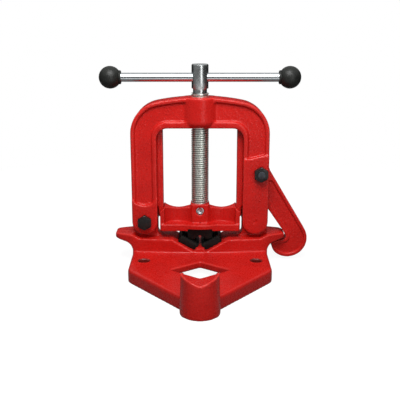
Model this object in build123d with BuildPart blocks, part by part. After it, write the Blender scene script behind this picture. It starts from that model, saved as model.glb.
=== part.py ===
from build123d import *
import os
from math import atan2, cos, radians, sin, sqrt, tan

# Hinged yoke pipe vise. Millimetres, +Z up, front towards -Y, hinge on the left (-X).
# The origin lies on the bench, below the spindle's axis, in the middle plane of the yoke.

os.makedirs("parts", exist_ok=True)

# Shared sizes
overrun = 6.0  # how far a cut runs past what it cuts
shaft_slip = 0.05  # radial clearance of bolts, screws and shafts in their holes
face_play = 0.3  # between faces of pieces that move past each other

# Legs of the yoke and the ears of the base that they straddle
leg_centre_x = 76.5
leg_half_width = 17.5
pivot_z = 60.5
ear_half_thickness = 9.0
ear_side_play = 0.5
ear_tip_play = 0.8
leg_outer_x = leg_centre_x + leg_half_width
leg_inner_x = leg_centre_x - leg_half_width
slot_half_width = ear_half_thickness + ear_side_play

# M10 bolts of hinge and latch
bolt_radius = 5.0
bolt_head_flats = 17.0
bolt_head_height = 6.4
nut_height = 8.0
bolt_end_length = 3.4
hex_chamfer = 0.8

# Base casting
plate_height = 18.0
plate_roof = 9.5
plate_rim = 9.0
plate_corner_y = 93.4
plate_corner_radius = 20.0
plate_edge_round = 4.0
hollow_back_y = 34.0
hollow_corner_radius = 8.0
hole_boss_radius = 13.0
diamond_y = 94.0
diamond_half_width = 38.5
diamond_half_depth = 29.5
diamond_corner_radius = 1.5
mount_hole_radius = 7.0
mount_hole_chamfer = 1.0
mount_hole_inset = 18.5
mount_hole_y = 59.0
rear_hole_y = 45.0
rear_flange_radius = 22.0
rear_flange_height = 14.0
rear_flange_root_half_width = 48.0

# Upstand across the base, with its V and the two horns
upstand_rear_y = 22.0
upstand_front_y = 24.0
upstand_bulge = 6.0
ledge_z = 37.0
vee_angle = 30.0
vee_half_opening = 38.5
vee_floor_half_width = 8.0
rib_height = 5.1
ramp_inset = 13.0
horn_flat_start = 3.0
horn_reach = 23.5
horn_rise = 5.5
horn_tip_thickness = 8.0
horn_underside_angle = 13.7
horn_half_depth = 14.0
horn_plan_round = 9.0
horn_tip_round = 2.5
horn_root_round = 12.0
ear_foot_round = 9.0
ear_outer_foot_round = 5.0

# Notched pipe rest at the front of the base
rest_y = 188.0
rest_radius = 24.0
rest_wall = 7.0
rest_draft_angle = 2.1
rest_side_z = 46.0
rest_notch_depth = 4.8
rest_back = 5.0
rest_meet_angle = 14.0
rest_root_round = 6.0

# Lower jaws
jaw_length = 26.0
jaw_thickness = 10.5
jaw_half_depth = 22.0
tooth_count = 8
tooth_depth = 1.3
jaw_screw_radius = 3.0
jaw_screw_head_radius = 5.0
jaw_screw_head_height = 6.0
jaw_screw_engagement = 6.5
jaw_screw_floor = 10.0
socket_radius = 2.5
socket_depth = 3.0

# Upper jaw
upper_jaw_half_width = 17.0
upper_jaw_half_depth = 19.0
upper_jaw_height = 16.5
upper_jaw_foot_x = 11.0
upper_tooth_count = 4
upper_screw_y = 11.0
upper_screw_head_height = 4.0
upper_screw_seat = 5.5
upper_screw_engagement = 7.5
closed_gap = 0.5

# Jaw slide
slide_recess_depth = 3.0
slide_recess_play = 0.2
slide_end_play = 3.6
flange_height = 9.5
flange_end_y = 22.0
flange_bulge = 4.5
flange_bulge_half_width = 22.0
flange_corner_radius = 3.0
cheek_thickness = 5.9
cheek_half_depth = 20.0
cheek_height = 28.5
cheek_slope = 3.8
collar_radius = 13.0
collar_height = 33.0
web_half_depth = 14.0
web_end_height = 29.5
web_waist_height = 26.0
pocket_radius = 16.0
pocket_x = 31.5
pocket_y = 20.0
web_root_height = 28.5

# Guide rails of the yoke
rail_projection = 8.0
rail_half_depth = 7.0
rail_bottom_z = 64.0
rail_play = 0.3
rail_end_chamfer = 2.5

# Yoke casting
yoke_half_depth = 20.0
foot_half_depth = 22.0
beam_height = 41.0
crown_radius = 300.0
shoulder_radius = 44.0
window_corner_radius = 15.0
panel_depth = 3.5
panel_outer_rim = 5.5
panel_inner_rim = 6.0
beam_rim = 9.0
boss_radius = 26.5
boss_lower_round = 9.0
boss_upper_chamfer = 1.5
left_foot_top_z = 94.0
left_foot_dip = 10.3
right_foot_inner_z = 148.6
right_foot_outer_z = 153.9
dimple_radius = 2.2
dimple_depth = 1.2

# Latch hook
latch_offset_x = 6.5
latch_rise = 68.0
latch_half_thickness = 8.75
latch_eye_radius = 13.8
latch_angle = 31.1
latch_outer_offset = 12.7
latch_shank_width = 27.4
latch_slot_play = 2.2
hook_radius = 27.2
hook_gap = 3.5
hook_tip_reach = 22.5
hook_wrap_angle = 120.0
hook_tip_round = 2.5
hook_throat_round = 4.0
latch_panel_depth = 2.0
latch_panel_rim = 4.5
latch_panel_corner_radius = 3.0

# Spindle
spindle_radius = 12.0
thread_length = 152.4
thread_stand_out = 4.95
thread_end_chamfer = 1.5
relief_radius = 9.5
relief_length = 6.1
head_radius = 11.4
head_length = 32.1
head_chamfer = 1.2
cross_hole_drop = 17.6
neck_radius = 8.5
neck_length = 23.0
groove_radius = 6.0
groove_width = 7.0
groove_drop = 9.8

# Retaining screw in the slide's column
retaining_radius = 5.5
retaining_tip_radius = 3.2
retaining_mouth = 1.0
retaining_mouth_angle = 45.0
retaining_setback = 0.6
retaining_body_length = 4.2
retaining_socket_radius = 2.8
retaining_socket_depth = 2.6

# T-bar and knobs
bar_radius = 6.0
bar_half_length = 118.0
knob_radius = 15.0
knob_overhang = 2.7
knob_neck_radius = 8.2
knob_socket_depth = 12.0
knob_bore_play = 0.05

# Slopes, places and levels worked out from the sizes above
mount_hole_x = leg_outer_x - mount_hole_inset
latch_x = leg_centre_x + latch_offset_x
latch_z = pivot_z + latch_rise
knob_x = bar_half_length + knob_overhang
knob_neck_x = bar_half_length - knob_socket_depth
vee_slope = tan(radians(vee_angle))
vee_floor_z = ledge_z - (vee_half_opening - vee_floor_half_width) * vee_slope
rib_half_width = vee_floor_half_width - rib_height * vee_slope
horn_tip_x = leg_outer_x + horn_reach
horn_top_z = ledge_z + horn_rise
horn_slope = tan(radians(horn_underside_angle))
horn_tip_low_z = horn_top_z - horn_tip_thickness
horn_root_low_z = horn_tip_low_z - horn_reach * horn_slope


def jaw_point(along, up, side=1):
    """Place in the XZ plane of a point of a lower jaw, from the foot of the V."""
    angle = radians(vee_angle)
    x = vee_floor_half_width + along * cos(angle) - up * sin(angle)
    z = vee_floor_z + along * sin(angle) + up * cos(angle)
    return (side * x, z)


jaw_corner = jaw_point(0, jaw_thickness)
jaw_foot_z = jaw_corner[1] + (upper_jaw_foot_x - jaw_corner[0]) * vee_slope + closed_gap
jaw_apex_z = jaw_foot_z + upper_jaw_foot_x * vee_slope
jaw_seat_z = jaw_foot_z + upper_jaw_height
collar_top_z = jaw_seat_z + collar_height
flange_bottom_z = jaw_seat_z - slide_recess_depth
flange_top_z = flange_bottom_z + flange_height
shoulder_bottom_z = collar_top_z + face_play
thread_top_z = shoulder_bottom_z + thread_length
crown_top_z = thread_top_z - thread_stand_out
window_top_z = crown_top_z - beam_height
head_bottom_z = thread_top_z + relief_length
head_top_z = head_bottom_z + head_length
bar_z = head_top_z - cross_hole_drop
neck_bottom_z = shoulder_bottom_z - neck_length
groove_z = shoulder_bottom_z - groove_drop
rail_inner_x = leg_inner_x - rail_projection
slide_end_x = leg_inner_x - slide_end_play
cheek_inner_x = slide_end_x - cheek_thickness


def save(piece, name):
    """Label a finished piece and write it out."""
    piece.label = name
    export_step(piece, f"parts/{name}.step")


def lower_screw_seat(side):
    """Plane under the head of a lower jaw's screw, square to the face of the V."""
    x, z = jaw_point(jaw_length / 2, -jaw_screw_floor, side)
    tilt = radians(vee_angle)
    return Plane(origin=(x, 0, z), x_dir=(0, 1, 0), z_dir=(-side * sin(tilt), 0, cos(tilt)))


def cap_screw(seat, head_height, shank_length):
    """Socket head screw with the underside of its head on the given plane."""
    with BuildPart() as screw:
        with BuildSketch(seat.offset(-head_height)):
            Circle(jaw_screw_head_radius)
        extrude(amount=head_height)
        with BuildSketch(seat):
            Circle(jaw_screw_radius)
        extrude(amount=shank_length)
        with BuildSketch(seat.offset(-head_height)):
            RegularPolygon(socket_radius, 6, major_radius=False)
        extrude(amount=socket_depth, mode=Mode.SUBTRACT)
    return screw.part


def screw_room(seat, head_depth, shank_length):
    """Counterbored hole for such a screw, open below the head."""
    with BuildPart() as room:
        with BuildSketch(seat):
            Circle(jaw_screw_head_radius + face_play)
        extrude(amount=-head_depth)
        with BuildSketch(seat):
            Circle(jaw_screw_radius + shaft_slip)
        extrude(amount=shank_length)
    return room.part


def hex_piece(plane, height, bore=0):
    """Hexagon nut or bolt head on a plane, its outer corners turned off."""
    corner_radius = bolt_head_flats / 2 + hex_chamfer / 2
    with BuildPart() as piece:
        with BuildSketch(plane):
            RegularPolygon(bolt_head_flats / 2, 6, major_radius=False)
        extrude(amount=height)
        with BuildSketch(plane):
            Circle(corner_radius)
        extrude(amount=height, mode=Mode.INTERSECT)
        if bore:
            with BuildSketch(plane):
                Circle(bore)
            extrude(amount=height, mode=Mode.SUBTRACT)
    return piece.part


# Base casting: outline of the plate, seen from above
meet_angle = radians(rest_meet_angle)
rest_foot_radius = rest_radius - plate_height * tan(radians(rest_draft_angle))
rest_meet = (
    rest_foot_radius * cos(meet_angle),
    -rest_y + rest_foot_radius * sin(meet_angle),
)
with BuildSketch() as plate_outline:
    with BuildLine():
        right_side = Polyline(
            (0, upstand_rear_y),
            (leg_outer_x, upstand_rear_y),
            (leg_outer_x, -plate_corner_y),
            rest_meet,
        )
        mirror(right_side, about=Plane.YZ)
        ThreePointArc(rest_meet, (0, -rest_y - rest_foot_radius), (-rest_meet[0], rest_meet[1]))
    make_face()
    plate_corners = plate_outline.vertices().group_by(Axis.Y)
    fillet(plate_corners[-2], radius=plate_corner_radius)
    fillet(plate_outline.vertices().group_by(Axis.Y)[0], radius=rest_root_round)

# Hollow under the plate: a rim runs round it and bosses stand at the bolt holes
with BuildSketch() as hollow_outline:
    offset(plate_outline.sketch, amount=-plate_rim)
    with Locations((0, -hollow_back_y)):
        Rectangle(
            2 * leg_outer_x,
            2 * upstand_rear_y + 2 * hollow_back_y,
            align=(Align.CENTER, Align.MIN),
            mode=Mode.SUBTRACT,
        )
    with Locations((0, -rest_y)):
        Circle(rest_radius, mode=Mode.SUBTRACT)
    with Locations((mount_hole_x, -mount_hole_y), (-mount_hole_x, -mount_hole_y)):
        Circle(hole_boss_radius, mode=Mode.SUBTRACT)
    fillet(hollow_outline.vertices().group_by(Axis.Y)[-1], radius=hollow_corner_radius)

# Upstand and horns: the front view, cut to their outline from above
with BuildPart() as upstand:
    with BuildSketch(Plane.XZ):
        with BuildLine():
            Polyline(
                (leg_outer_x - ramp_inset, ledge_z),
                (vee_half_opening, ledge_z),
                (vee_floor_half_width, vee_floor_z),
                (rib_half_width, vee_floor_z + rib_height),
                (-rib_half_width, vee_floor_z + rib_height),
                (-vee_floor_half_width, vee_floor_z),
                (-vee_half_opening, ledge_z),
                (-(leg_outer_x - ramp_inset), ledge_z),
            )
            ramp_middle_x = leg_outer_x + (horn_flat_start - ramp_inset) / 2
            ramp = Bezier(
                (leg_outer_x - ramp_inset, ledge_z),
                (ramp_middle_x, ledge_z),
                (ramp_middle_x, horn_top_z),
                (leg_outer_x + horn_flat_start, horn_top_z),
            )
            horn = Polyline(
                (leg_outer_x + horn_flat_start, horn_top_z),
                (horn_tip_x, horn_top_z),
                (horn_tip_x, horn_tip_low_z),
                (leg_outer_x, horn_root_low_z),
                (leg_outer_x, 0),
                (0, 0),
            )
            mirror(ramp, about=Plane.YZ)
            mirror(horn, about=Plane.YZ)
        make_face()
        horn_corners = [
            vertex
            for vertex in vertices()
            if abs(vertex.X) > leg_outer_x + horn_flat_start + shaft_slip
        ]
        fillet(horn_corners, radius=horn_tip_round)
        root_corners = [
            vertex
            for vertex in vertices()
            if abs(abs(vertex.X) - leg_outer_x) < shaft_slip and vertex.Y > shaft_slip
        ]
        fillet(root_corners, radius=horn_root_round)
    extrude(amount=upstand_front_y + upstand_bulge + overrun, both=True)
    with BuildSketch():
        with BuildLine():
            ThreePointArc(
                (-leg_outer_x, -upstand_front_y),
                (0, -upstand_front_y - upstand_bulge),
                (leg_outer_x, -upstand_front_y),
            )
            horn_plan = Polyline(
                (leg_outer_x, -upstand_front_y),
                (horn_tip_x, -horn_half_depth),
                (horn_tip_x, horn_half_depth),
                (leg_outer_x, upstand_rear_y),
                (0, upstand_rear_y),
            )
            mirror(horn_plan, about=Plane.YZ)
        make_face()
        tip_corners = [vertex for vertex in vertices() if abs(vertex.X) > leg_outer_x + shaft_slip]
        fillet(tip_corners, radius=horn_plan_round)
    extrude(amount=horn_top_z + overrun, mode=Mode.INTERSECT)

# Ear for the left and right leg, with a flared foot on the ledge
with BuildPart() as ears:
    with BuildSketch(Plane.XZ):
        for side in (-1, 1):
            with Locations((side * leg_centre_x, pivot_z)):
                Circle(leg_half_width)
            with Locations((side * leg_centre_x, ledge_z)):
                Rectangle(
                    2 * leg_half_width,
                    pivot_z - ledge_z,
                    align=(Align.CENTER, Align.MIN),
                )
                Rectangle(
                    2 * leg_half_width + 2 * ear_foot_round,
                    horn_tip_thickness / 2,
                    align=(Align.CENTER, Align.MAX),
                )
        for foot_x, foot_round in (
            (leg_inner_x, ear_foot_round - shaft_slip),
            (leg_outer_x, ear_outer_foot_round),
        ):
            ear_feet = [
                vertex
                for vertex in vertices()
                if abs(vertex.Y - ledge_z) < shaft_slip and abs(abs(vertex.X) - foot_x) < shaft_slip
            ]
            fillet(ear_feet, radius=foot_round)
    extrude(amount=ear_half_thickness, both=True)

# Half-round wall of the pipe rest, open towards the diamond hole, with a V in its top
with BuildPart() as pipe_rest:
    with BuildSketch():
        with Locations((0, -rest_y)):
            Circle(rest_radius)
    extrude(amount=rest_side_z, taper=rest_draft_angle)
    with BuildSketch(Plane.XY.offset(plate_height)):
        with Locations((0, -rest_y)):
            Circle(rest_radius - rest_wall - rest_side_z * tan(radians(rest_draft_angle)))
        with Locations((0, -rest_y + rest_back)):
            Rectangle(
                2 * rest_radius + overrun,
                rest_radius + overrun,
                align=(Align.CENTER, Align.MIN),
            )
    extrude(amount=rest_side_z, mode=Mode.SUBTRACT)
    with BuildSketch(Plane.XZ.offset(rest_y - rest_radius - overrun)):
        with BuildLine():
            Polyline(
                (-rest_radius, rest_side_z),
                (0, rest_side_z - rest_notch_depth),
                (rest_radius, rest_side_z),
                close=True,
            )
        make_face()
    extrude(amount=2 * rest_radius + 2 * overrun, mode=Mode.SUBTRACT)

with BuildPart() as base_casting:
    add(plate_outline.sketch)
    extrude(amount=plate_height)
    fillet(base_casting.faces().sort_by(Axis.Z)[-1].edges(), radius=plate_edge_round)
    extrude(hollow_outline.sketch, amount=plate_height - plate_roof, mode=Mode.SUBTRACT)
    with BuildSketch():
        with Locations((0, rear_hole_y)):
            Circle(rear_flange_radius)
        Rectangle(2 * rear_flange_root_half_width, 2 * upstand_rear_y - overrun)
        make_hull()
    extrude(amount=rear_flange_height)
    add(upstand.part)
    add(ears.part)
    add(pipe_rest.part)
    with BuildSketch():
        with Locations((0, -diamond_y)):
            Polygon(
                (diamond_half_width, 0),
                (0, diamond_half_depth),
                (-diamond_half_width, 0),
                (0, -diamond_half_depth),
                align=None,
            )
        fillet(vertices(), radius=diamond_corner_radius)
    extrude(amount=plate_height + overrun, mode=Mode.SUBTRACT)
    with Locations(
        Plane.XY.offset(plate_height) * Pos(mount_hole_x, -mount_hole_y),
        Plane.XY.offset(plate_height) * Pos(-mount_hole_x, -mount_hole_y),
        Plane.XY.offset(rear_flange_height) * Pos(0, rear_hole_y),
    ):
        Hole(mount_hole_radius)
    with Locations(Plane.XZ.offset(ear_half_thickness) * Pos(-leg_centre_x, pivot_z)):
        Hole(bolt_radius + shaft_slip, depth=2 * ear_half_thickness)
    hole_rims = [
        edge
        for edge in base_casting.edges().filter_by(GeomType.CIRCLE)
        if abs(edge.radius - mount_hole_radius) < shaft_slip and edge.center().Z > plate_roof
    ]
    chamfer(hole_rims, length=mount_hole_chamfer)
    for side in (-1, 1):
        seat = lower_screw_seat(side)
        add(screw_room(seat, vee_floor_z + plate_height, jaw_screw_floor + overrun), mode=Mode.SUBTRACT)

save(base_casting.part, "base_casting")

# Lower jaws: toothed blocks that lie in the V, each held by a screw from below
tooth_pitch = jaw_length / tooth_count
for side, side_name in ((-1, "left"), (1, "right")):
    seat = lower_screw_seat(side)
    with BuildPart() as lower_jaw:
        with BuildSketch(Plane.XZ):
            with BuildLine():
                Polyline(
                    jaw_point(0, jaw_thickness, side),
                    jaw_point(0, 0, side),
                    jaw_point(jaw_length, 0, side),
                    jaw_point(jaw_length, jaw_thickness, side),
                )
                for tooth in range(tooth_count):
                    Polyline(
                        jaw_point(tooth * tooth_pitch, jaw_thickness, side),
                        jaw_point((tooth + 1 / 2) * tooth_pitch, jaw_thickness - tooth_depth, side),
                        jaw_point((tooth + 1) * tooth_pitch, jaw_thickness, side),
                    )
            make_face()
        extrude(amount=jaw_half_depth, both=True)
        with BuildSketch(seat.offset(jaw_screw_floor)):
            Circle(jaw_screw_radius + shaft_slip)
        extrude(amount=jaw_screw_engagement + shaft_slip, mode=Mode.SUBTRACT)
    save(lower_jaw.part, f"lower_jaw_{side_name}")
    lower_screw = cap_screw(seat, jaw_screw_head_height, jaw_screw_floor + jaw_screw_engagement)
    save(lower_screw, f"lower_jaw_screw_{side_name}")

# Upper jaw: an inverted V with teeth, screwed up into the slide from inside the V
upper_pitch = upper_jaw_foot_x / upper_tooth_count
upper_tooth_rise = tooth_depth * cos(radians(vee_angle))
outer_rise = (upper_jaw_half_width - upper_jaw_foot_x) * vee_slope
with BuildPart() as upper_jaw:
    with BuildSketch(Plane.XZ):
        with BuildLine():
            outside = Polyline(
                (0, jaw_seat_z),
                (upper_jaw_half_width, jaw_seat_z),
                (upper_jaw_half_width, jaw_foot_z + outer_rise),
                (upper_jaw_foot_x, jaw_foot_z),
            )
            mirror(outside, about=Plane.YZ)
            for tooth in range(upper_tooth_count):
                outer_x = (upper_tooth_count - tooth) * upper_pitch
                inner_x = outer_x - upper_pitch
                middle_x = outer_x - upper_pitch / 2
                bite = Polyline(
                    (outer_x, jaw_apex_z - outer_x * vee_slope),
                    (middle_x, jaw_apex_z - middle_x * vee_slope + upper_tooth_rise),
                    (inner_x, jaw_apex_z - inner_x * vee_slope),
                )
                mirror(bite, about=Plane.YZ)
        make_face()
    extrude(amount=upper_jaw_half_depth, both=True)
    for side in (-1, 1):
        seat = Plane(origin=(0, side * upper_screw_y, jaw_seat_z - upper_screw_seat), z_dir=(0, 0, 1))
        add(screw_room(seat, upper_jaw_height, upper_screw_seat + overrun), mode=Mode.SUBTRACT)
save(upper_jaw.part, "upper_jaw")

for side, side_name in ((-1, "front"), (1, "rear")):
    seat = Plane(origin=(0, side * upper_screw_y, jaw_seat_z - upper_screw_seat), z_dir=(0, 0, 1))
    upper_screw = cap_screw(seat, upper_screw_head_height, upper_screw_seat + upper_screw_engagement)
    save(upper_screw, f"upper_jaw_screw_{side_name}")

# Jaw slide: flange, cheeks that straddle the rails, web with pockets, and the collar
with BuildPart() as jaw_slide:
    with BuildSketch(Plane.XY.offset(flange_bottom_z)):
        with BuildLine():
            flange_front = ThreePointArc(
                (-flange_bulge_half_width, -flange_end_y),
                (0, -flange_end_y - flange_bulge),
                (flange_bulge_half_width, -flange_end_y),
            )
            flange_end = Polyline(
                (flange_bulge_half_width, -flange_end_y),
                (slide_end_x, -flange_end_y),
                (slide_end_x, 0),
            )
            mirror(flange_end, about=Plane.YZ)
            mirror(flange_front, about=Plane.XZ)
            mirror(flange_end, about=Plane.XZ)
            mirror(mirror(flange_end, about=Plane.XZ, mode=Mode.PRIVATE), about=Plane.YZ)
        make_face()
        flange_corners = [vertex for vertex in vertices() if abs(vertex.Y) > flange_end_y - shaft_slip]
        fillet(
            [corner for corner in flange_corners if abs(corner.X) > slide_end_x - shaft_slip],
            radius=flange_corner_radius,
        )
    extrude(amount=flange_height)
    with BuildSketch(Plane.XZ):
        with BuildLine():
            web_side = Polyline(
                (0, collar_top_z),
                (collar_radius, collar_top_z),
                (collar_radius, jaw_seat_z + web_root_height),
            )
            web_curve = Spline(
                (collar_radius, jaw_seat_z + web_root_height),
                ((collar_radius + cheek_inner_x) / 2, jaw_seat_z + web_waist_height),
                (cheek_inner_x, jaw_seat_z + web_end_height),
            )
            web_end = Polyline(
                (cheek_inner_x, jaw_seat_z + web_end_height),
                (cheek_inner_x, flange_top_z),
                (0, flange_top_z),
            )
            mirror(web_side, about=Plane.YZ)
            mirror(web_curve, about=Plane.YZ)
            mirror(web_end, about=Plane.YZ)
        make_face()
    extrude(amount=web_half_depth, both=True)
    with BuildSketch(Plane.XY.offset(flange_top_z)):
        with Locations(
            (pocket_x, pocket_y), (-pocket_x, pocket_y), (pocket_x, -pocket_y), (-pocket_x, -pocket_y)
        ):
            Circle(pocket_radius)
    extrude(amount=collar_height, mode=Mode.SUBTRACT)
    with BuildSketch(Plane.XY.offset(jaw_seat_z)):
        Circle(web_half_depth)
    extrude(amount=web_waist_height)
    with BuildSketch(Plane.XZ):
        for side in (-1, 1):
            Polygon(
                (side * cheek_inner_x, flange_bottom_z),
                (side * slide_end_x, flange_bottom_z),
                (side * slide_end_x, jaw_seat_z + cheek_height - cheek_slope),
                (side * cheek_inner_x, jaw_seat_z + cheek_height),
                align=None,
            )
    extrude(amount=cheek_half_depth, both=True)
    with BuildSketch(Plane.XY.offset(flange_bottom_z - overrun)):
        for side in (-1, 1):
            with Locations((side * (rail_inner_x - rail_play), 0)):
                Rectangle(
                    2 * rail_projection,
                    2 * rail_half_depth + 2 * rail_play,
                    align=(Align.MIN if side > 0 else Align.MAX, Align.CENTER),
                )
    extrude(amount=collar_height + 2 * overrun, mode=Mode.SUBTRACT)
    with BuildSketch(Plane.XY.offset(flange_bottom_z - overrun)):
        Rectangle(2 * (upper_jaw_half_width + slide_recess_play), 2 * flange_end_y + 2 * overrun)
    extrude(amount=slide_recess_depth + overrun, mode=Mode.SUBTRACT)
    with BuildSketch(Plane.XY.offset(collar_top_z)):
        Circle(neck_radius + shaft_slip)
    extrude(amount=-(collar_top_z - neck_bottom_z + face_play), mode=Mode.SUBTRACT)
    for side in (-1, 1):
        with BuildSketch(Plane(origin=(0, side * upper_screw_y, jaw_seat_z), z_dir=(0, 0, 1))):
            Circle(jaw_screw_radius + shaft_slip)
        extrude(amount=upper_screw_engagement + face_play, mode=Mode.SUBTRACT)
    with BuildSketch(Plane.XZ.offset(collar_radius + overrun)):
        with Locations((0, groove_z)):
            Circle(retaining_radius + shaft_slip)
    extrude(amount=-collar_radius - overrun, mode=Mode.SUBTRACT)
    with BuildSketch(Plane.XZ.offset(web_half_depth - retaining_mouth)):
        with Locations((0, groove_z)):
            Circle(retaining_radius + shaft_slip)
    extrude(amount=2 * retaining_mouth, taper=-retaining_mouth_angle, mode=Mode.SUBTRACT)

save(jaw_slide.part, "jaw_slide")

# Retaining screw: its tip runs in the groove of the spindle's neck
screw_face_y = web_half_depth - retaining_setback
with BuildPart() as spindle_retaining_screw:
    with BuildSketch(Plane.XZ.offset(screw_face_y)):
        with Locations((0, groove_z)):
            Circle(retaining_radius)
    extrude(amount=-retaining_body_length)
    with BuildSketch(Plane.XZ.offset(screw_face_y)):
        with Locations((0, groove_z)):
            Circle(retaining_tip_radius)
    extrude(amount=-(screw_face_y - groove_radius - face_play))
    with BuildSketch(Plane.XZ.offset(screw_face_y)):
        with Locations((0, groove_z)):
            RegularPolygon(retaining_socket_radius, 6, major_radius=False)
    extrude(amount=-retaining_socket_depth, mode=Mode.SUBTRACT)
save(spindle_retaining_screw.part, "spindle_retaining_screw")


# Yoke casting: the arch, its sunk panels, the boss, the rails and the two forked feet
def arch_face(inset, window_inset, window_top, corner_radius, foot_z):
    """Arch between its outer edge and the window, both drawn in by the given amounts."""
    side_x = leg_outer_x - inset
    shoulder_x = leg_outer_x - shoulder_radius
    crown_z = crown_top_z - crown_radius
    rise = sqrt((crown_radius - shoulder_radius) ** 2 - shoulder_x**2)
    lean = atan2(rise, shoulder_x)
    bend = shoulder_radius - inset
    meet = (shoulder_x + bend * cos(lean), crown_z + rise + bend * sin(lean))
    middle = (shoulder_x + bend * cos(lean / 2), crown_z + rise + bend * sin(lean / 2))
    with BuildSketch() as arch:
        with BuildLine():
            outer_side = Line((side_x, foot_z), (side_x, crown_z + rise))
            outer_bend = ThreePointArc((side_x, crown_z + rise), middle, meet)
            mirror(outer_side, about=Plane.YZ)
            mirror(outer_bend, about=Plane.YZ)
            ThreePointArc(meet, (0, crown_top_z - inset), (-meet[0], meet[1]))
            Line((side_x, foot_z), (-side_x, foot_z))
        make_face()
        with BuildSketch(mode=Mode.SUBTRACT):
            with Locations((0, window_top)):
                Rectangle(
                    2 * (leg_inner_x + window_inset),
                    2 * window_top,
                    align=(Align.CENTER, Align.MAX),
                )
            fillet(vertices().group_by(Axis.Y)[-1], radius=corner_radius)
    return arch.sketch


def foot_face(side):
    """Foot plate of one leg, from its round end up to its shaped upper edge."""
    inner_x = side * leg_inner_x
    outer_x = side * leg_outer_x
    middle_x = side * leg_centre_x
    with BuildSketch() as foot:
        with BuildLine():
            ThreePointArc((inner_x, pivot_z), (middle_x, pivot_z - leg_half_width), (outer_x, pivot_z))
            if side < 0:
                Line((outer_x, pivot_z), (outer_x, left_foot_top_z))
                ThreePointArc(
                    (outer_x, left_foot_top_z),
                    (middle_x, left_foot_top_z - left_foot_dip),
                    (inner_x, left_foot_top_z),
                )
                Line((inner_x, left_foot_top_z), (inner_x, pivot_z))
            else:
                Line((outer_x, pivot_z), (outer_x, right_foot_outer_z))
                Bezier(
                    (outer_x, right_foot_outer_z),
                    (middle_x, right_foot_outer_z),
                    (middle_x, right_foot_inner_z),
                    (inner_x, right_foot_inner_z),
                )
                Line((inner_x, right_foot_inner_z), (inner_x, pivot_z))
        make_face()
    return foot.sketch


with BuildPart() as boss:
    with BuildSketch(Plane.XY.offset(window_top_z)):
        Circle(boss_radius)
    extrude(amount=crown_top_z - window_top_z)
    fillet(boss.edges().group_by(Axis.Z)[0], radius=boss_lower_round)
    chamfer(boss.edges().group_by(Axis.Z)[-1], length=boss_upper_chamfer)

slot_side_x = leg_inner_x - ear_tip_play
slot_radius = leg_half_width * sqrt(2) + ear_tip_play
latch_slot_radius = latch_eye_radius + latch_slot_play
with BuildPart() as yoke_casting:
    with BuildSketch(Plane.XZ):
        add(arch_face(0, 0, window_top_z, window_corner_radius, pivot_z))
    extrude(amount=yoke_half_depth, both=True)
    panel_face = arch_face(
        panel_outer_rim,
        panel_inner_rim,
        window_top_z + beam_rim,
        window_corner_radius + panel_inner_rim,
        pivot_z,
    )
    for front in (1, -1):
        with BuildSketch(Plane.XZ.offset(front * yoke_half_depth)):
            add(panel_face)
        extrude(amount=-front * panel_depth, mode=Mode.SUBTRACT)
    with BuildSketch(Plane.XZ):
        add(foot_face(-1))
        add(foot_face(1))
    extrude(amount=foot_half_depth, both=True)
    add(boss.part)
    with BuildSketch(Plane.XZ):
        for side in (-1, 1):
            Polygon(
                (side * leg_inner_x, rail_bottom_z),
                (side * (rail_inner_x + rail_end_chamfer), rail_bottom_z),
                (side * rail_inner_x, rail_bottom_z + rail_end_chamfer),
                (side * rail_inner_x, window_top_z),
                (side * (leg_inner_x + panel_inner_rim), window_top_z),
                (side * (leg_inner_x + panel_inner_rim), rail_bottom_z + leg_half_width),
                (side * leg_inner_x, rail_bottom_z + leg_half_width),
                align=None,
            )
    extrude(amount=rail_half_depth, both=True)
    with BuildSketch(Plane.XZ):
        for side in (-1, 1):
            with Locations((side * leg_centre_x, pivot_z)):
                Circle(slot_radius)
            with Locations((side * slot_side_x, pivot_z)):
                Rectangle(
                    slot_side_x,
                    2 * slot_radius,
                    align=(Align.MAX if side > 0 else Align.MIN, Align.CENTER),
                    mode=Mode.SUBTRACT,
                )
                Rectangle(
                    2 * slot_radius,
                    pivot_z,
                    align=(Align.MIN if side > 0 else Align.MAX, Align.MAX),
                )
        with Locations((latch_x, latch_z)):
            Circle(latch_slot_radius)
        with Locations((latch_x - latch_slot_radius, latch_z)):
            Rectangle(
                2 * leg_outer_x,
                latch_z - pivot_z,
                align=(Align.MIN, Align.MAX),
            )
        with Locations((latch_x, latch_z)):
            Rectangle(leg_outer_x, latch_slot_radius, align=(Align.MIN, Align.MIN))
    extrude(amount=slot_half_width, both=True, mode=Mode.SUBTRACT)
    with Locations(Plane.XY.offset(crown_top_z)):
        Hole(spindle_radius + shaft_slip, depth=crown_top_z - window_top_z)
    with BuildSketch(Plane.XZ):
        with Locations((-leg_centre_x, pivot_z), (latch_x, latch_z)):
            Circle(bolt_radius + shaft_slip)
    extrude(amount=foot_half_depth + overrun, both=True, mode=Mode.SUBTRACT)
    with BuildSketch(Plane.XZ.offset(foot_half_depth)):
        with Locations((leg_centre_x, pivot_z)):
            Circle(dimple_radius)
    extrude(amount=-dimple_depth, mode=Mode.SUBTRACT)

save(yoke_casting.part, "yoke_casting")

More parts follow.
